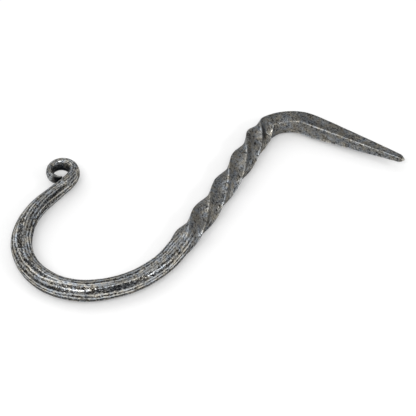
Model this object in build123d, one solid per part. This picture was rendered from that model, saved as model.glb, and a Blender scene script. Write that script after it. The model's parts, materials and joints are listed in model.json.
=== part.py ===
from build123d import *
import os
from math import acos, ceil, cos, degrees, exp, radians, sin

os.makedirs("parts", exist_ok=True)

# A drive-in cup hook, forged from one length of round steel bar and laid on its side.
# The bar runs in a plane parallel to XY: the spike points along +X, the shank runs down
# -Y, the hook turns to -X and back up, and its tip is curled outwards into a small scroll.
# Z is the thickness of the bar. Lengths are in millimetres and turns in degrees.

# Spike: hammered square and drawn down to a blunt point, for driving into a beam.
SPIKE_LENGTH = 42.7
SPIKE_POINT = 2.1
SPIKE_ROOT = 7.1
SPIKE_FULLNESS = 1.2
NOSE_LENGTH = 1.6
NOSE_BLUNTNESS = 0.4

# Bend at the top, its corners softened over the anvil's edge, then the shank, squared
# from the round bar, twisted hot and left slightly bowed.
BEND_RADIUS = 14.4
BEND_TURN = 92.9
BEND_SIDE = 7.8
BEND_SOFTNESS = 0.6
SOFTENED_SPIKE = 4.0
SHANK_LENGTH = 70.3
SHANK_BOW = 5.8
SHANK_WAIST_SIDE = 7.1
SHANK_FOOT_SIDE = 7.7
SQUARE_CORNER = 0.8
FACE_HOLLOW = 0.2

# Twist, left-handed: tight where it starts inside the bend and slacker further down.
TWIST_LEAD_IN = 11.2
TWIST_EASE = 2.0
SLACK_TWIST_PITCH = 65.5
TIGHT_TWIST = 116.0
TIGHT_TWIST_LENGTH = 4.7

# Hook: round bar, its diameter taken over twelve lengthwise ridges left by the hammer.
HOOK_DIAMETER = 8.5
RIDGE_DEPTH = 0.25
ROUNDING_LENGTH = 14.0
LEAD_RADIUS = 38.7
LEAD_TURN = 57.0
BOWL_RADIUS = 25.2
BOWL_TURN = 96.0
LIP_RADIUS = 31.4
LIP_TURN = 36.0
RISER_LENGTH = 11.9
NECK_RADIUS = 18.5
NECK_TURN = 16.0
DRAWN_FULLNESS = 1.4

# Scroll: the drawn-out tip, curled round a pin until its bevelled end closes on the neck.
EYE_RADIUS = 2.8
SCROLL_THICKNESS = 4.9
SCROLL_HEIGHT = 7.2
TIP_THICKNESS = 2.2
TIP_HEIGHT = 4.2
BEVEL_TURN = 20.0
EDGE_THICKNESS = 1.0
EDGE_HEIGHT = 2.8
CLOSING_GAP = 0.6

# Largest step between the cross-sections that the skin of the bar is drawn through.
PLAIN_STEP = 7.0
TWISTED_STEP = 2.2
BENT_STEP = 14.0


def share(distance, start, end):
    """How far a distance lies between two others, from 0 to 1."""
    return min(max((distance - start) / (end - start), 0), 1)


def between(first, last, part):
    """The value a given part of the way from the first to the last."""
    return first + (last - first) * part


def eased(part):
    """The same share, starting and ending gently."""
    return part * part * (3 - 2 * part)


def cross_section(plane, width, height, roundness, twist):
    """The bar's outline on a plane, as twenty-four short straight chords.

    Roundness 0 is a square with rounded corners and slightly hollow faces. Roundness 1 is
    a circle with twelve ridges and shallow hollows between them. The outline is turned by
    the twist, and then stretched to its width in the plane of the hook and its height.
    """
    half = SHANK_FOOT_SIDE / 2
    corner = SQUARE_CORNER / half
    knee = 1 - corner
    quarter_outline = [Vector(1 - FACE_HOLLOW / half, 0)]
    for step in range(5):
        turn = radians(22.5 * step)
        quarter_outline.append(Vector(knee + corner * cos(turn), knee + corner * sin(turn)))
    ridge = Vector(1, 0)
    hollow = Vector(1 - RIDGE_DEPTH / (HOOK_DIAMETER / 2), 0)
    points = []
    for quarter in range(4):
        for step, place in enumerate(quarter_outline):
            squared = place.rotate(Axis.Z, 90 * quarter)
            rounded = (ridge if step % 2 else hollow).rotate(Axis.Z, 90 * quarter + 15 * step)
            turned = between(squared, rounded, roundness).rotate(Axis.Z, twist)
            stretched = Vector(turned.X * width / 2, turned.Y * height / 2)
            points.append(plane.from_local_coords(stretched))
    return Wire.make_polygon(points)


# Centreline, leg by leg from the point of the spike.
spike = Line((SPIKE_LENGTH, 0), (0, 0))
bend = JernArc(spike @ 1, spike % 1, BEND_RADIUS, BEND_TURN)
shank = JernArc(bend @ 1, bend % 1, SHANK_LENGTH / radians(SHANK_BOW), -SHANK_BOW)
lead = JernArc(shank @ 1, shank % 1, LEAD_RADIUS, -LEAD_TURN)
bowl = JernArc(lead @ 1, lead % 1, BOWL_RADIUS, -BOWL_TURN)
lip = JernArc(bowl @ 1, bowl % 1, LIP_RADIUS, -LIP_TURN)
riser = PolarLine(lip @ 1, RISER_LENGTH, direction=lip % 1)
neck = JernArc(riser @ 1, riser % 1, NECK_RADIUS, NECK_TURN)

# Distances along the bar at which its form changes.
bend_start = spike.length
bend_middle = bend_start + bend.length / 2
shank_start = bend_start + bend.length
twist_start = shank_start - TWIST_LEAD_IN
waist = shank_start + shank.length / 2
hook_start = shank_start + shank.length
taper_start = hook_start + lead.length + bowl.length
scroll_start = taper_start + lip.length + riser.length + neck.length


def drawn_out(part, fullness):
    """How far the bar has thinned or filled out, faster at first where fullness is over 1."""
    return 1 - (1 - part) ** fullness


def bar_width(distance):
    """Width of the bar in the plane of the hook, from the spike's point to the scroll."""
    filled = drawn_out(share(distance, 0, bend_start), SPIKE_FULLNESS)
    nose = 1 - share(distance, 0, NOSE_LENGTH)
    spike_width = between(SPIKE_POINT, SPIKE_ROOT, filled) * (1 - nose**2 * (1 - NOSE_BLUNTNESS))
    bend_width = between(spike_width, BEND_SIDE, share(distance, bend_start, bend_middle))
    waist_width = between(bend_width, SHANK_WAIST_SIDE, share(distance, bend_middle, waist))
    shank_width = between(waist_width, SHANK_FOOT_SIDE, share(distance, waist, hook_start))
    round_width = between(shank_width, HOOK_DIAMETER, rounding(distance))
    thinned = drawn_out(share(distance, taper_start, scroll_start), DRAWN_FULLNESS)
    return between(round_width, SCROLL_THICKNESS, thinned)


def bar_height(distance):
    """Height of the bar across the plane of the hook, the same as its width before the lip."""
    if distance < taper_start:
        return bar_width(distance)
    return between(HOOK_DIAMETER, SCROLL_HEIGHT, share(distance, taper_start, scroll_start))


def rounding(distance):
    """How far the square has turned into the round bar at the foot of the shank."""
    return eased(share(distance, hook_start - ROUNDING_LENGTH, hook_start))


def roundness(distance):
    """How round the section is: a little in the bend, and wholly from the shank's foot on."""
    into_bend = eased(share(distance, bend_start - SOFTENED_SPIKE, bend_middle))
    out_of_bend = eased(1 - share(distance, bend_middle, shank_start))
    return BEND_SOFTNESS * into_bend * out_of_bend + rounding(distance)


def bar_twist(distance):
    """Turn of the cross-section: a steady twist, and a tight one that dies away.

    Both start gently, because the run down the bar is shortened by the ease.
    """
    run = min(max(distance - twist_start, 0), hook_start - twist_start)
    run = run * run / (run + TWIST_EASE)
    tight = TIGHT_TWIST * (1 - exp(-run / TIGHT_TWIST_LENGTH))
    return -(360 * run / SLACK_TWIST_PITCH + tight)


def bar_station(place, along, distance):
    """Cross-section of the bar at a place on the centreline."""
    plane = Plane(place, x_dir=Vector(0, 0, 1).cross(along), z_dir=along)
    width = bar_width(distance)
    height = bar_height(distance)
    return cross_section(plane, width, height, roundness(distance), bar_twist(distance))


stations = []
travelled = 0.0
nose_steps = [0.0, NOSE_LENGTH / 3, NOSE_LENGTH]
for step in nose_steps:
    stations.append(bar_station(spike @ (step / spike.length), spike % 0, step))

for leg in [spike, bend, shank, lead, bowl, lip, riser, neck]:
    step_length = PLAIN_STEP
    if leg in [bend, shank]:
        step_length = TWISTED_STEP
    count = ceil(leg.length / step_length)
    for step in range(1, count + 1):
        part = step / count
        stations.append(bar_station(leg @ part, leg % part, travelled + leg.length * part))
    travelled += leg.length

# The scroll's inner side follows the pin, so its thickness is all on the outside. It turns
# until the outside of the thin end meets the line of the neck, a small gap away.
inward = Vector(0, 0, 1).cross(neck % 1)
eye_centre = neck @ 1 + inward * (EYE_RADIUS + SCROLL_THICKNESS / 2)
closing_turn = degrees(acos((EYE_RADIUS - CLOSING_GAP) / (EYE_RADIUS + EDGE_THICKNESS)))
scroll_turn = 360 - closing_turn
scroll_count = ceil(scroll_turn / BENT_STEP)
for step in range(1, scroll_count + 1):
    turned = scroll_turn * step / scroll_count
    bevel = share(turned, scroll_turn - BEVEL_TURN, scroll_turn)
    full_thickness = between(SCROLL_THICKNESS, TIP_THICKNESS, turned / scroll_turn)
    full_height = between(SCROLL_HEIGHT, TIP_HEIGHT, turned / scroll_turn)
    thickness = between(full_thickness, EDGE_THICKNESS, bevel)
    height = between(full_height, EDGE_HEIGHT, bevel)
    outward = (-inward).rotate(Axis.Z, turned)
    place = eye_centre + outward * (EYE_RADIUS + thickness / 2)
    plane = Plane(place, x_dir=-outward, z_dir=(neck % 1).rotate(Axis.Z, turned))
    stations.append(cross_section(plane, thickness, height, 1, bar_twist(hook_start)))

hook_bar = Solid.make_loft(stations)

# Lay the bar on the ground plane, with the middle of its outline over the origin.
box = hook_bar.bounding_box()
hook_bar = Pos(-box.center().X, -box.center().Y, -box.min.Z) * hook_bar

export_step(hook_bar, "parts/cup_hook.step")
print("stations", len(stations), "valid", hook_bar.is_valid, "volume", round(hook_bar.volume, 1))
print("size", hook_bar.bounding_box().size, "offset", box.center(), box.min.Z)
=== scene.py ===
import json

import bpy
import numpy as np
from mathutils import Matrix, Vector


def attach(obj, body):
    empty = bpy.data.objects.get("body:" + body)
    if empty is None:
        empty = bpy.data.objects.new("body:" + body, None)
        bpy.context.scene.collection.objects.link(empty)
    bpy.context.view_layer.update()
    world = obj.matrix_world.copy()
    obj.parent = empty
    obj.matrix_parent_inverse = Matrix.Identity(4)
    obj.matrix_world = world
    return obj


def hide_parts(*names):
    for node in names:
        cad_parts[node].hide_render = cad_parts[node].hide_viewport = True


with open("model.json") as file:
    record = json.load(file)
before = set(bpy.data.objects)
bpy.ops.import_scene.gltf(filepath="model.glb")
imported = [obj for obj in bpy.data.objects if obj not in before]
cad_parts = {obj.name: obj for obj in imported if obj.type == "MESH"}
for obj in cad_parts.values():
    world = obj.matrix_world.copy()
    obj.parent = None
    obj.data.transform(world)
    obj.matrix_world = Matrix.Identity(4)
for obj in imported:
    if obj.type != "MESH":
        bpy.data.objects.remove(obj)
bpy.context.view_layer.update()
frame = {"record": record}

# --- The forged bar ----------------------------------------------------------------------
# The whole hook is one length of round mild steel bar, worked hot: its spike and shank are
# hammered square, the shank is twisted, the hook is bent with the bar left round, and the
# tip is drawn out and curled.

# Sizes are in millimetres, and turns in degrees unless radians are named. MM makes metres.
MM = 0.001

# The bar's line lies flat: spike, bend, bowed shank, open hook, riser, neck and scroll.
SPIKE_LENGTH = 42.7
BEND_RADIUS, BEND_TURN = 14.4, 92.9
SHANK_LENGTH, SHANK_BOW = 70.3, -5.8
LEAD_RADIUS, LEAD_TURN = 38.7, -57.0
BOWL_RADIUS, BOWL_TURN = 25.2, -96.0
LIP_RADIUS, LIP_TURN = 31.4, -36.0
RISER_LENGTH = 11.9
NECK_RADIUS, NECK_TURN = 18.5, 16.0
EYE_RADIUS = 2.8
SCROLL_THICKNESS, TIP_THICKNESS, EDGE_THICKNESS = 4.9, 2.2, 1.0
SCROLL_HEIGHT, TIP_HEIGHT, EDGE_HEIGHT = 7.2, 4.2, 2.8
BEVEL_TURN = 50.0
CLOSING_GAP = 0.6


def arc_length(radius, turn):
    """Length of an arc: its radius times its turn in radians."""
    return radius * abs(np.radians(turn))


# Each leg is its length and how far it turns, with left turns positive.
legs = np.array([
    (SPIKE_LENGTH, 0.0),
    (arc_length(BEND_RADIUS, BEND_TURN), BEND_TURN),
    (SHANK_LENGTH, SHANK_BOW),
    (arc_length(LEAD_RADIUS, LEAD_TURN), LEAD_TURN),
    (arc_length(BOWL_RADIUS, BOWL_TURN), BOWL_TURN),
    (arc_length(LIP_RADIUS, LIP_TURN), LIP_TURN),
    (RISER_LENGTH, 0.0),
    (arc_length(NECK_RADIUS, NECK_TURN), NECK_TURN),
])
leg_ends = np.cumsum(legs[:, 0])
bend_start, shank_start, hook_start = leg_ends[:3]
taper_start = leg_ends[4]
bend_middle = (bend_start + shank_start) / 2
waist = (shank_start + hook_start) / 2
scroll_start = leg_ends[-1]
closing_turn = np.arccos((EYE_RADIUS - CLOSING_GAP) / (EYE_RADIUS + EDGE_THICKNESS))
scroll_turn = 2 * np.pi - closing_turn
scroll_length = scroll_turn * (EYE_RADIUS + (SCROLL_THICKNESS + TIP_THICKNESS) / 4)
bar_length = scroll_start + scroll_length
bevel_start = bar_length - scroll_length * np.radians(BEVEL_TURN) / scroll_turn


def centreline(distance):
    """Place and heading at distances along the legs.

    On an arc the chord is the length times the sine of half the turn over half the turn,
    and it points along the heading at the middle of the arc.
    """
    curvature = np.radians(legs[:, 1]) / legs[:, 0]
    starts = leg_ends - legs[:, 0]
    start_headings = np.pi + np.concatenate([[0], np.cumsum(np.radians(legs[:-1, 1]))])

    def run_on(place, leg, length):
        half_turn = curvature[leg] * length / 2
        chord = length * np.sinc(half_turn / np.pi)
        middle = start_headings[leg] + half_turn
        return place + chord[:, None] * np.stack([np.cos(middle), np.sin(middle)], axis=1)

    places = np.zeros((len(legs) + 1, 2))
    places[0] = (SPIKE_LENGTH, 0)
    for leg in range(len(legs)):
        places[leg + 1] = run_on(places[leg], np.array([leg]), legs[leg : leg + 1, 0])[0]
    leg = np.clip(np.searchsorted(leg_ends, distance), 0, len(legs) - 1)
    length = distance - starts[leg]
    return run_on(places[leg], leg, length), start_headings[leg] + curvature[leg] * length


def scroll_line(distance):
    """Place and heading in the scroll: a turn about the pin, half a thickness outside it."""
    part = np.clip((distance - scroll_start) / scroll_length, 0, 1)
    neck_end, neck_heading = centreline(np.array([scroll_start]))
    inward = np.array([-np.sin(neck_heading[0]), np.cos(neck_heading[0])])
    eye_centre = neck_end[0] + inward * (EYE_RADIUS + SCROLL_THICKNESS / 2)
    heading = neck_heading[0] + scroll_turn * part
    outward = np.stack([np.sin(heading), -np.cos(heading)], axis=1)
    return eye_centre + outward * (EYE_RADIUS + bar_width(distance) / 2)[:, None], heading


# The section is square on the spike and shank, with worn corners, and round in the hook.
SPIKE_POINT, SPIKE_ROOT, SPIKE_FULLNESS = 2.1, 7.1, 1.2
NOSE_LENGTH, NOSE_BLUNTNESS = 2.4, 0.2
BEND_SIDE, BEND_SOFTNESS, SOFTENED_SPIKE = 7.8, 0.6, 4.0
SHANK_WAIST_SIDE, SHANK_FOOT_SIDE = 7.1, 7.7
HOOK_DIAMETER, DRAWN_FULLNESS = 8.47, 1.4
ROUNDING_LENGTH = 14.0
TWIST_LEAD_IN, TWIST_EASE = 6.9, 1.2
SLACK_TWIST_PITCH, TIGHT_TWIST, TIGHT_TWIST_LENGTH = 64.4, 41.6, 5.9
SQUARENESS = 11.0
FACE_HOLLOW = 0.3


def share(distance, start, end):
    """How far a distance lies between two others, from 0 to 1."""
    return np.clip((distance - start) / (end - start), 0, 1)


def eased(part):
    """A share that starts and ends gently: 3 times its square less 2 times its cube."""
    return part * part * (3 - 2 * part)


def drawn_out(part, fullness):
    """How far the bar has thinned or filled out, faster at first where fullness is over 1."""
    return 1 - (1 - part) ** fullness


def rounding(distance):
    """How far the square has turned into the round bar at the foot of the shank."""
    return eased(share(distance, hook_start - ROUNDING_LENGTH, hook_start))


def roundness(distance):
    """How round the section is: a little in the bend, and wholly from the shank's foot on."""
    into_bend = eased(share(distance, bend_start - SOFTENED_SPIKE, bend_middle))
    out_of_bend = eased(1 - share(distance, bend_middle, shank_start))
    return BEND_SOFTNESS * into_bend * out_of_bend + rounding(distance)


def bar_width(distance):
    """Width of the bar in the plane of the hook, blended from one form to the next."""
    nose = 1 - share(distance, 0, NOSE_LENGTH)
    filled = drawn_out(share(distance, 0, bend_start), SPIKE_FULLNESS)
    width = SPIKE_POINT + (SPIKE_ROOT - SPIKE_POINT) * filled
    width = width * (1 - nose**2 * (1 - NOSE_BLUNTNESS))
    width = width + (BEND_SIDE - width) * share(distance, bend_start, bend_middle)
    width = width + (SHANK_WAIST_SIDE - width) * share(distance, bend_middle, waist)
    width = width + (SHANK_FOOT_SIDE - width) * share(distance, waist, hook_start)
    width = width + (HOOK_DIAMETER - width) * rounding(distance)
    thinned = drawn_out(share(distance, taper_start, scroll_start), DRAWN_FULLNESS)
    width = width + (SCROLL_THICKNESS - width) * thinned
    width = width + (TIP_THICKNESS - SCROLL_THICKNESS) * share(distance, scroll_start, bar_length)
    return width + (EDGE_THICKNESS - width) * share(distance, bevel_start, bar_length)


def bar_height(distance):
    """Height of the bar across the plane of the hook."""
    height = np.where(distance < taper_start, bar_width(distance), HOOK_DIAMETER)
    height = height + (SCROLL_HEIGHT - height) * share(distance, taper_start, scroll_start)
    height = height + (TIP_HEIGHT - SCROLL_HEIGHT) * share(distance, scroll_start, bar_length)
    return height + (EDGE_HEIGHT - height) * share(distance, bevel_start, bar_length)


def bar_twist(distance):
    """Turn of the section in radians: a steady twist, and a tight one that dies away.

    Both start gently, because the run down the bar is shortened by the ease.
    """
    twist_start = shank_start - TWIST_LEAD_IN
    run = np.clip(distance - twist_start, 0, hook_start - twist_start)
    run = run * run / (run + TWIST_EASE)
    tight = TIGHT_TWIST * (1 - np.exp(-run / TIGHT_TWIST_LENGTH))
    return -np.radians(360 * run / SLACK_TWIST_PITCH + tight)


# The hammer leaves long narrow flats on the round bar. The ridges between them are given
# here, each by distances along the bar and the angles it passes there, in degrees up from
# the outer side of the hook. A few blows went deeper and left hollows, in which the ridges
# stay dull and which are painted dark, a painted dark reflection. Each is its place, angle,
# half length, half width in degrees and strength.
# Depths are divided by half the bar to be shares of the outline's reach.
RIDGES = [
    [(122, 5), (140, 10), (165, 3), (190, 6), (215, 0), (250, 8)],
    [(122, 31), (150, 24), (160, 22), (178, 28), (188, 24), (205, 19), (222, 28), (250, 30)],
    [
        (122, 62), (136, 49), (153, 46), (163, 25), (178, 28),
        (188, 24), (205, 19), (222, 28), (250, 30),
    ],
    [
        (122, 74), (150, 66), (162, 61), (170, 53), (176, 47),
        (184, 51), (200, 44), (208, 46), (250, 56),
    ],
    [
        (122, 90), (155, 75), (162, 67), (176, 75), (183, 78),
        (195, 63), (202, 62), (208, 69), (214, 60), (250, 76),
    ],
    [
        (122, 104), (155, 86), (168, 81), (184, 88), (195, 94),
        (203, 86), (213, 103), (218, 98), (228, 90), (250, 100),
    ],
    [(122, 120), (155, 106), (180, 102), (205, 107), (213, 114), (222, 109), (238, 104), (250, 118)],
    [
        (122, 142), (140, 136), (170, 124), (200, 122), (220, 128),
        (232, 127), (238, 121), (244, 128), (252, 143),
    ],
    [(122, 166), (170, 154), (215, 149), (240, 151), (252, 168)],
    [(122, 190), (170, 182), (215, 186), (252, 190)],
    [(122, 217), (170, 220), (215, 214), (252, 220)],
    [(122, 246), (170, 240), (220, 250), (252, 243)],
    [(122, 275), (180, 282), (252, 272)],
    [(122, 310), (160, 304), (200, 316), (252, 312)],
    [(122, 338), (150, 342), (185, 332), (252, 338)],
]
HOLLOWS = [
    (165, 42, 10, 14, 1.0),
    (190, 34, 9, 6, 0.8),
    (196, 80, 6, 10, 0.6),
    (213, 88, 5, 13, 0.5),
    (240, 138, 8, 11, 1.0),
]
HALF_BAR = 4.0
HOLLOW_DEPTH = 0.12
RIDGE_HALF_WIDTH = 0.55
RIDGE_ROUNDING = 0.06
RIDGE_WANDER, RIDGE_WANDER_LENGTH = 3.5, 6.0
DENT_DEPTH, DENT_LENGTH = 0.06, 4.0

# Corners are rubbed bright in a narrow line, leaned a little to one side of the true corner to
# where its highlight falls, so the line is partly a painted highlight. These two angles are in
# radians. Rubbing and pitting come and go along the bar in patches.
CORNER_HIGHLIGHT_LEAN, CORNER_WEAR = 0.08, 0.05
RUBBING_LENGTH, PITTING_LENGTH = 6.0, 7.0

# The power that narrows a ridge's shine, and where the nose's shine starts to fade and ends.
RIDGE_SHARPNESS = 1.5
NOSE_FADE_START, NOSE_FADE_END = 0.2, 1.6

# Shares of full shine, pitting and darkness that a part of the bar has, gains or loses; the
# darkness is painted shade in the bend, the eye and on the bevel, and painted dark reflection in
# the hollows.
RUBBED, RUBBED_IN_PATCHES = 0.6, 0.4
CORNER_SHINE, SHANK_CORNER_LOSS, BEND_CORNER_SHADE = 0.9, 0.35, 1.4
VALLEY_LOSS, SCROLL_GAIN = 0.25, 0.29
NOSE_SHINE = 0.6
PATINA_LOSS, HOOK_PATINA_LOSS = 0.03, 0.02
SQUARE_PITS, HOOK_PITS, SCROLL_PITS_LOSS, RIDGE_PITS_LOSS = 0.12, 0.68, 0.2, 0.75
PITTED_IN_PATCHES = 0.2
PAINTED_HOLLOW_REFLECTION, PAINTED_EYE_AND_BEVEL_SHADE = 0.7, 0.95

# Grid of the skin: rows along the bar, columns around it, and how far they crowd to corners.
STATIONS, SIDES = 620, 160
CORNER_CROWDING = 0.3


def hook_marks(along, turned):
    """Reach of the hammered round, how near it is to a ridge, and how deep in a hollow.

    Each flat joins two ridges: its reach is the cosine of half the angle between them over
    the cosine of the angle from its middle, and the outline is the least of the flats. A
    flat counts no further than 60 degrees from its middle, where the cosine is a half.
    Nearness to a ridge is a bell across it, and a hollow is a steep-sided bell both ways.
    """
    angles = np.stack([np.interp(along, *np.array(ridge, float).T) for ridge in RIDGES])
    angles = np.concatenate([angles, angles[:1] + 360])
    millimetres = np.radians(1) * HOOK_DIAMETER / 2
    degrees_around = np.degrees(turned)
    flats = np.ones(along.shape)
    ridge = np.zeros(along.shape)
    for start, end in zip(angles[:-1], angles[1:]):
        from_middle = np.radians((degrees_around - (start + end) / 2 + 180) % 360 - 180)
        flat = np.cos(np.radians(end - start) / 2) / np.maximum(np.cos(from_middle), 0.5)
        flats = np.minimum(flats, flat)
        across = (degrees_around - start + 180) % 360 - 180
        ridge = np.maximum(ridge, np.exp(-((across * millimetres / RIDGE_HALF_WIDTH) ** 2)))
    hollow = np.zeros(along.shape)
    for place, angle, half_length, half_width, strength in HOLLOWS:
        across = (degrees_around - angle + 180) % 360 - 180
        away = ((along - place) / half_length) ** 2 + (across / half_width) ** 2
        hollow = np.maximum(hollow, strength * np.exp(-(away**2)))
    reach = flats - (RIDGE_ROUNDING * ridge + HOLLOW_DEPTH * hollow) / HALF_BAR
    return reach, ridge * (1 - hollow), hollow


def wander(along, around, length, count, seed):
    """Smooth hammer marks from -1 to 1: random heights at the knots of a net, joined smoothly.

    A knot stands every `length` along the bar and `count` times around it, and the net
    closes on itself around the bar.
    """
    rng = np.random.default_rng(seed)
    rows = int(bar_length / length) + 3
    knots = rng.uniform(-1, 1, (rows, count))
    row = along / length
    column = around / (2 * np.pi) * count
    row_below, column_left = np.floor(row).astype(int), np.floor(column).astype(int)
    up, right = eased(row - row_below), eased(column - column_left)
    top = knots[row_below + 1, column_left % count] * (1 - right)
    top = top + knots[row_below + 1, (column_left + 1) % count] * right
    bottom = knots[row_below, column_left % count] * (1 - right)
    bottom = bottom + knots[row_below, (column_left + 1) % count] * right
    return bottom + (top - bottom) * up


def hammered_outline(along, around, turned):
    """Reach of the outline from the centre, with how near it is to a ridge and in a hollow.

    The square's reach is one over a root of the sum of powers of the sine and cosine, with
    the squareness as both root and power, less a hollow in each face. The round's reach is
    that of its flats. Roundness blends the two, and the dents are taken off both.
    """
    powers = np.abs(np.cos(around)) ** SQUARENESS + np.abs(np.sin(around)) ** SQUARENESS
    face = (1 + np.cos(4 * around)) / 2
    square = powers ** (-1 / SQUARENESS) - FACE_HOLLOW / HALF_BAR * face
    wobble = np.radians(RIDGE_WANDER) * wander(along, around, RIDGE_WANDER_LENGTH, count=6, seed=11)
    flats, ridge, hollow = hook_marks(along, turned + wobble)
    dents = DENT_DEPTH * (1 + wander(along, around, DENT_LENGTH, count=7, seed=21))
    reach = square + (flats - square) * roundness(along) - dents / HALF_BAR
    return reach, ridge, hollow


def skin_wear(along, around, turned, ridge, hollow):
    """How worn the skin is, how pitted and how dark, from 0 for not at all to about 1.

    A square corner is worn by a bell across it, less on the shank than on the spike, leaned to
    where its highlight falls so that the bright line is partly a painted highlight, and in the
    first half of the bend it is painted darker instead, a painted shade. A ridge of the hook is
    worn by a power of its nearness, less an even loss that ends in the scroll, so wear is below
    0 between the ridges. The blunt nose is worn all round, and the patina takes a little from
    everything. The hook is pitted more than the square, except on its ridges. The hollows are
    painted dark as a painted dark reflection, the inner wall of the eye as painted shade, and
    the bevel's face as a painted shadow against the neck.
    """
    curled = share(along, scroll_start - 8, scroll_start + 3)
    ridge = ridge * (1 - 0.5 * curled)
    # The line leans off the true corner to where its highlight falls: partly a painted highlight.
    past_corner = around - np.pi / 4 - CORNER_HIGHLIGHT_LEAN
    off_corner = np.abs((past_corner + np.pi / 4) % (np.pi / 2) - np.pi / 4)
    corner = np.exp(-((off_corner / CORNER_WEAR) ** 2))
    hook_share = eased(rounding(along))
    rubbed = RUBBED + RUBBED_IN_PATCHES * wander(along, around, RUBBING_LENGTH, count=9, seed=5)
    # Painted shade: in the first half of the bend the corner's bright line goes below 0 and darkens it.
    bend_shade = eased(share(along, bend_start + 3, bend_start + 6))
    bend_shade = bend_shade * eased(1 - share(along, bend_middle, bend_middle + 5))
    bend_shade = 1 - BEND_CORNER_SHADE * bend_shade
    corner_wear = CORNER_SHINE - SHANK_CORNER_LOSS * share(along, bend_start, shank_start)
    corner_wear_highlight_and_shade = corner_wear * rubbed * corner * bend_shade
    worn_ridge = (1 + rubbed) / 2 * ridge**RIDGE_SHARPNESS
    worn_ridge = worn_ridge - VALLEY_LOSS + SCROLL_GAIN * curled
    worn = corner_wear_highlight_and_shade * (1 - hook_share) + worn_ridge * hook_share
    worn_nose = NOSE_SHINE * (1 - share(along, NOSE_FADE_START, NOSE_FADE_END))
    patina = PATINA_LOSS + HOOK_PATINA_LOSS * hook_share
    pitted = SQUARE_PITS + HOOK_PITS * hook_share - SCROLL_PITS_LOSS * curled
    pitted = pitted - RIDGE_PITS_LOSS * hook_share * ridge
    pitted = pitted + PITTED_IN_PATCHES * wander(along, around, PITTING_LENGTH, count=8, seed=31)
    # Painted shade on the eye's inner wall and painted shadow on the bevel's face against the neck.
    eye_shade = share(along, scroll_start - 5, scroll_start + 3)
    eye_shade = eye_shade * share(np.cos(turned + 0.35), 0.5, 0.95)
    bevel_shadow = share(along, bevel_start - 1, bevel_start + 1) * share(-np.cos(turned), 0.2, 0.6)
    # Painted dark reflection in the hammer hollows.
    hollow_reflection = PAINTED_HOLLOW_REFLECTION * hollow * hook_share
    painted_shade_and_reflection = np.maximum(hollow_reflection, PAINTED_EYE_AND_BEVEL_SHADE * np.maximum(eye_shade, bevel_shadow))
    return np.maximum(worn, worn_nose) - patina, pitted, painted_shade_and_reflection


def bar_surface():
    """Points of the bar's skin on a grid of distance along it and angle around it.

    The outline is turned by the twist and stretched to the width and height, across and
    above the bar's line. The grid's angles crowd towards the corners of the square.
    """
    along = np.linspace(0, bar_length, STATIONS)[:, None]
    turn = np.linspace(0, 2 * np.pi, SIDES, endpoint=False)[None, :]
    around = turn + CORNER_CROWDING * np.sin(4 * turn) / 4
    along, around = np.broadcast_arrays(along, around)
    twisted = around + bar_twist(along)
    reach, ridge, hollow = hammered_outline(along, around, twisted)
    worn, pitted, painted_shade_and_reflection = skin_wear(along, around, twisted, ridge, hollow)
    across = reach * np.cos(twisted) * bar_width(along) / 2
    upward = reach * np.sin(twisted) * bar_height(along) / 2
    place, heading = centreline(along[:, 0])
    scroll_place, scroll_heading = scroll_line(along[:, 0])
    in_scroll = along[:, 0] > scroll_start
    place = np.where(in_scroll[:, None], scroll_place, place)
    heading = np.where(in_scroll, scroll_heading, heading)
    left = np.stack([-np.sin(heading), np.cos(heading)], axis=1)
    flat = place[:, None, :] + across[:, :, None] * left[:, None, :]
    points = np.concatenate([flat, upward[:, :, None]], axis=2)
    girth = (bar_width(along) + bar_height(along)) / 4
    straightened = np.stack([along, girth * np.cos(around), girth * np.sin(around)], axis=2)
    return points, straightened, worn, pitted, painted_shade_and_reflection


def skin_faces(rows, columns):
    """Quads between neighbouring rows of points, closed around the bar, seen from outside."""
    row = np.arange(rows - 1)[:, None] * columns
    column = np.arange(columns)[None, :]
    after = (column + 1) % columns
    corners = [row + column, row + after, row + columns + after, row + columns + column]
    return np.stack(corners, axis=2).reshape(-1, 4)


def cap_faces(rim_start, columns, middle):
    """A fan of triangles from a middle point to the ring of points that starts at a place."""
    rim = np.arange(columns)
    after = (rim + 1) % columns
    return np.stack([np.full(columns, middle), rim_start + after, rim_start + rim], axis=1)


points, straightened, worn, pitted, painted_shade_and_reflection = bar_surface()
spike_root = np.array(frame["record"]["mounts"][0]["pos_m"])
points = spike_root + points * MM
tips = points[[0, -1]].mean(axis=1)
first_cap = cap_faces(0, SIDES, STATIONS * SIDES)
last_cap = cap_faces((STATIONS - 1) * SIDES, SIDES, STATIONS * SIDES + 1)[:, ::-1]
faces = skin_faces(STATIONS, SIDES).tolist() + first_cap.tolist() + last_cap.tolist()
mesh = bpy.data.meshes.new("forged_bar")
mesh.from_pydata(np.concatenate([points.reshape(-1, 3), tips]).tolist(), [], faces)
mesh.shade_smooth()
bar = bpy.data.objects.new("forged_bar", mesh)
bpy.context.scene.collection.objects.link(bar)


def store(name, kind, field, values):
    """Keeps a value for each point of the skin, and for each tip that of its rim."""
    values = values.reshape(STATIONS * SIDES, -1)
    values = np.concatenate([values, values[:1], values[-1:]])
    attribute = mesh.attributes.new(name, kind, "POINT")
    attribute.data.foreach_set(field, values.ravel().astype(np.float32))


# The wear share also holds the bend's painted shade and the corner lines' painted highlight. The dark
# share holds painted shade in the eye and on the bevel and painted dark reflection in the hollows.
store("straightened", "FLOAT_VECTOR", "vector", straightened)
store("worn", "FLOAT", "value", worn)
store("pitted", "FLOAT", "value", pitted)
store("painted_shade_and_reflection", "FLOAT", "value", painted_shade_and_reflection)


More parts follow.
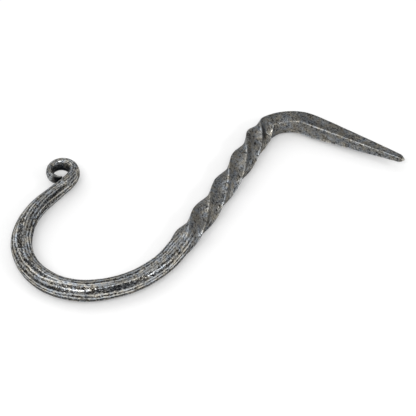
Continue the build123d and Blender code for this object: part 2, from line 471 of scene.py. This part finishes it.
def linear(hex_colour):
    """Linear red, green, blue and alpha of an sRGB hex colour."""
    srgb = np.array([int(hex_colour[i : i + 2], 16) for i in (0, 2, 4)]) / 255
    low, high = srgb / 12.92, ((srgb + 0.055) / 1.055) ** 2.4
    return (*np.where(srgb <= 0.04045, low, high), 1.0)


def add_node(tree, kind, settings={}, links={}):
    """Adds a node, sets its properties and inputs, and links outputs to its inputs.

    An input goes by its name or, where several share one, by its number.
    """
    node = tree.nodes.new(kind)
    for name, value in settings.items():
        if isinstance(name, str) and hasattr(node, name):
            setattr(node, name, value)
        else:
            node.inputs[name].default_value = value
    for name, output in links.items():
        tree.links.new(output, node.inputs[name])
    return node


# Hand-forged mild steel under a waxed pewter patina: black scale is left in pits under a
# millimetre across, the metal between them is a satin mid grey with a finer speckle, ridges,
# corners and the point are rubbed bright (the corner lines leaned to where their highlight falls,
# partly a painted highlight), the bend's inner corner is painted darker as painted shade, and the
# deep blows, the eye's inside and the bevel's face are painted blue-black: painted dark reflection
# in the blows, painted shade in the eye and a painted shadow on the bevel.
# Faint rust-brown and blue stains a few millimetres across keep the grey from being even.
# Sizes are in millimetres. The speckle is the scale's grain, drawn coarser than the real one
# so that it shows. Pits are drawn out a third longer along the bar than around it.
PIT_SIZE = 0.70
SPECKLE_SIZE = 0.42
CLOUD_SIZE = 6.0
STAIN_SIZE = 2.2
PITS_ALONG = 0.75
PIT_SPREAD = -0.16
CLOUD_WEIGHT, WEAR_WEIGHT = 0.20, 0.40
DARK_TONE, SATIN_TONE, BRIGHT_TONE = 0.13, 0.40, 0.63
RUST_STAIN, BLUE_STAIN = 0.35, 0.65
BUMP_STRENGTH, BUMP_DEPTH = 0.7, 0.15
DARK_SCALE, SATIN_GREY, BRIGHT_STEEL, PAINTED_SHADE_BLUE_BLACK = "1f1c1a", "7a7a78", "d8d9d7", "161a1f"
RUST_TINT, BLUE_TINT = "fff7ea", "eaf2ff"

steel = bpy.data.materials.new("pewter_patina_on_forged_steel")
steel.use_nodes = True
tree = steel.node_tree
tree.nodes.clear()
skin = add_node(tree, "ShaderNodeAttribute", {"attribute_name": "straightened"}).outputs["Vector"]
wear = add_node(tree, "ShaderNodeAttribute", {"attribute_name": "worn"}).outputs["Fac"]
pits = add_node(tree, "ShaderNodeAttribute", {"attribute_name": "pitted"}).outputs["Fac"]
dark = add_node(tree, "ShaderNodeAttribute", {"attribute_name": "painted_shade_and_reflection"}).outputs["Fac"]
drawn = add_node(
    tree, "ShaderNodeMapping", {"Scale": (PITS_ALONG, 1, 1)}, {"Vector": skin},
).outputs["Vector"]
pitting = add_node(
    tree, "ShaderNodeTexNoise",
    {"Scale": 1 / PIT_SIZE, "Detail": 2.0, "Roughness": 0.6}, {"Vector": drawn},
).outputs["Fac"]
speckle = add_node(
    tree, "ShaderNodeTexNoise", {"Scale": 1 / SPECKLE_SIZE, "Detail": 1.0}, {"Vector": skin},
).outputs["Fac"]
cloud = add_node(
    tree, "ShaderNodeTexNoise", {"Scale": 1 / CLOUD_SIZE, "Detail": 2.0}, {"Vector": skin},
).outputs["Fac"]

# The more pitted the skin, the more of the pit pattern falls below the edge of a pit, where
# the tone drops from its plateau to dark. The speckle is stronger there too. Clouds and wear
# are added, and the one tone that comes of it drives the colour, the gloss and the bump.
pit_edge = add_node(
    tree, "ShaderNodeMath", {"operation": "MULTIPLY_ADD", 1: PIT_SPREAD}, {0: pits, 2: pitting},
).outputs["Value"]
plateau = add_node(
    tree, "ShaderNodeMapRange", {"From Min": 0.33, "From Max": 0.47, "To Min": 0.08, "To Max": 0.31},
    {"Value": pit_edge},
).outputs["Result"]
speckle_weight = add_node(
    tree, "ShaderNodeMapRange", {"From Min": 0.0, "From Max": 1.0, "To Min": 0.25, "To Max": 1.5},
    {"Value": pits},
).outputs["Result"]
speckle_swing = add_node(
    tree, "ShaderNodeMath", {"operation": "SUBTRACT", 1: 0.5}, {0: speckle},
).outputs["Value"]
speckle_tone = add_node(
    tree, "ShaderNodeMath", {"operation": "MULTIPLY_ADD"},
    {0: speckle_swing, 1: speckle_weight, 2: plateau},
).outputs["Value"]
cloud_tone = add_node(
    tree, "ShaderNodeMath", {"operation": "MULTIPLY_ADD", 1: CLOUD_WEIGHT},
    {0: cloud, 2: speckle_tone},
).outputs["Value"]
tone = add_node(
    tree, "ShaderNodeMath", {"operation": "MULTIPLY_ADD", 1: WEAR_WEIGHT},
    {0: wear, 2: cloud_tone},
).outputs["Value"]
colour = add_node(tree, "ShaderNodeValToRGB", {}, {"Fac": tone})
ramp = colour.color_ramp
ramp.elements[0].position, ramp.elements[0].color = DARK_TONE, linear(DARK_SCALE)
ramp.elements[1].position, ramp.elements[1].color = BRIGHT_TONE, linear(BRIGHT_STEEL)
satin = ramp.elements.new(SATIN_TONE)
satin.color = linear(SATIN_GREY)
stain = add_node(
    tree, "ShaderNodeTexNoise", {"Scale": 1 / STAIN_SIZE, "Detail": 3.0}, {"Vector": skin},
).outputs["Fac"]
tint = add_node(tree, "ShaderNodeValToRGB", {}, {"Fac": stain})
rust, blue = tint.color_ramp.elements
rust.position, rust.color = RUST_STAIN, linear(RUST_TINT)
blue.position, blue.color = BLUE_STAIN, linear(BLUE_TINT)
tinted = add_node(
    tree, "ShaderNodeMix", {"data_type": "RGBA", "blend_type": "MULTIPLY", 0: 1.0},
    {6: colour.outputs["Color"], 7: tint.outputs["Color"]},
).outputs[2]
# Painted shade and painted dark reflection: the dark share mixes the colour towards blue-black.
hue = add_node(
    tree, "ShaderNodeMix", {"data_type": "RGBA", 7: linear(PAINTED_SHADE_BLUE_BLACK)}, {0: dark, 6: tinted},
).outputs[2]
roughness = add_node(
    tree, "ShaderNodeMapRange", {"From Min": 0.12, "From Max": 0.63, "To Min": 0.60, "To Max": 0.20},
    {"Value": tone},
).outputs["Result"]
bump = add_node(
    tree, "ShaderNodeBump", {"Strength": BUMP_STRENGTH, "Distance": BUMP_DEPTH * MM},
    {"Height": tone},
).outputs["Normal"]

# Seen edge-on, scale reflects less than bare steel, so the tint there is halved.
metal = add_node(
    tree, "ShaderNodeBsdfPrincipled", {"Metallic": 1.0, "Specular Tint": (0.5, 0.5, 0.5, 1)},
    {"Base Color": hue, "Roughness": roughness, "Normal": bump},
).outputs["BSDF"]
add_node(tree, "ShaderNodeOutputMaterial", {}, {"Surface": metal})
mesh.materials.append(steel)

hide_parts("cup_hook")
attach(bar, "root")

# --- The floor ---------------------------------------------------------------------------
# The hook lies on a sheet of white card, large enough that its edge is never seen. Seen
# directly or in the metal it is lifted to white, and the hook's soft shadow stays on it.
CARD_SIZE = 4.0
CARD_LIFT = 0.14

floor_mesh = bpy.data.meshes.new("white_card")
half_card = CARD_SIZE / 2
corners = half_card * np.array([(-1, -1, 0), (1, -1, 0), (1, 1, 0), (-1, 1, 0)])
floor_mesh.from_pydata(corners.tolist(), [], [(0, 1, 2, 3)])
floor = bpy.data.objects.new("white_card", floor_mesh)
bpy.context.scene.collection.objects.link(floor)
card = bpy.data.materials.new("matt_white_card")
card.use_nodes = True
tree = card.node_tree
tree.nodes.clear()
matt = add_node(tree, "ShaderNodeBsdfDiffuse", {"Color": linear("e6e6e6")}).outputs["BSDF"]
rays = add_node(tree, "ShaderNodeLightPath")
seen = add_node(
    tree, "ShaderNodeMath", {"operation": "MAXIMUM"},
    {0: rays.outputs["Is Camera Ray"], 1: rays.outputs["Is Glossy Ray"]},
).outputs["Value"]
seen = add_node(
    tree, "ShaderNodeMath", {"operation": "MAXIMUM"}, {0: seen, 1: rays.outputs["Is Transmission Ray"]},
).outputs["Value"]
lift = add_node(
    tree, "ShaderNodeMath", {"operation": "MULTIPLY", 1: CARD_LIFT}, {0: seen},
).outputs["Value"]
glow = add_node(tree, "ShaderNodeEmission", {}, {"Strength": lift}).outputs["Emission"]
both = add_node(tree, "ShaderNodeAddShader", {}, {0: matt, 1: glow}).outputs["Shader"]
add_node(tree, "ShaderNodeOutputMaterial", {}, {"Surface": both})
floor_mesh.materials.append(card)

# --- The light ---------------------------------------------------------------------------
# A product table in a white room: an even white surround, a large soft panel up to the left
# and behind the hook, a wide strip in front and above that lights the bowl most, and a
# small strip to the right that glints on the foot of the shank.
ROOM_GLOW = 0.60

# Directions as the camera sees them: to the right, straight away along the table, and up.
right_hand = Vector((0.8835, 0.4684, 0))
ahead = Vector((-0.4684, 0.8835, 0))
above = Vector((0, 0, 1))

world = bpy.data.worlds.new("white_room")
bpy.context.scene.world = world
world.use_nodes = True
world.node_tree.nodes["Background"].inputs["Color"].default_value = (1, 1, 1, 1)
world.node_tree.nodes["Background"].inputs["Strength"].default_value = ROOM_GLOW


def soft_panel(name, direction, distance, width, height, power):
    """An oblong lamp panel that faces the middle of the hook, with its width level."""
    lamp = bpy.data.lights.new(name, "AREA")
    lamp.shape = "RECTANGLE"
    lamp.size = width
    lamp.size_y = height
    lamp.energy = power
    panel = bpy.data.objects.new(name, lamp)
    panel.location = direction.normalized() * distance
    panel.rotation_euler = (-panel.location).to_track_quat("-Z", "Y").to_euler()
    bpy.context.scene.collection.objects.link(panel)


key_side = -0.7 * right_hand + 0.4 * ahead + above
front_side = -0.1 * right_hand - 0.61 * ahead + 0.81 * above
right_side = 0.68 * right_hand - 0.38 * ahead + 0.63 * above
soft_panel("key_panel", key_side, distance=1.4, width=1.6, height=1.6, power=6.2)
soft_panel("front_panel", front_side, distance=0.9, width=0.65, height=0.24, power=3.7)
soft_panel("right_panel", right_side, distance=0.9, width=0.45, height=0.11, power=1.35)

# --- The camera --------------------------------------------------------------------------
# A long lens, looking down on the hook at 47 degrees, with the spike away to the right.
DISTANCE = 0.6607
LOOK_DOWN = 47.16
LENS = 147.1
aim = Vector((0.0029, 0.0046, 0.0008))

camera_data = bpy.data.cameras.new("camera")
camera_data.lens = LENS
camera_data.sensor_width = 36.0
camera_data.clip_end = 20.0
camera = bpy.data.objects.new("camera", camera_data)
tilt = np.radians(LOOK_DOWN)
camera.location = aim + DISTANCE * (above * np.sin(tilt) - ahead * np.cos(tilt))
camera.rotation_euler = (aim - camera.location).to_track_quat("-Z", "Y").to_euler()
bpy.context.scene.collection.objects.link(camera)
bpy.context.scene.camera = camera
bpy.context.scene.view_settings.view_transform = "Standard"
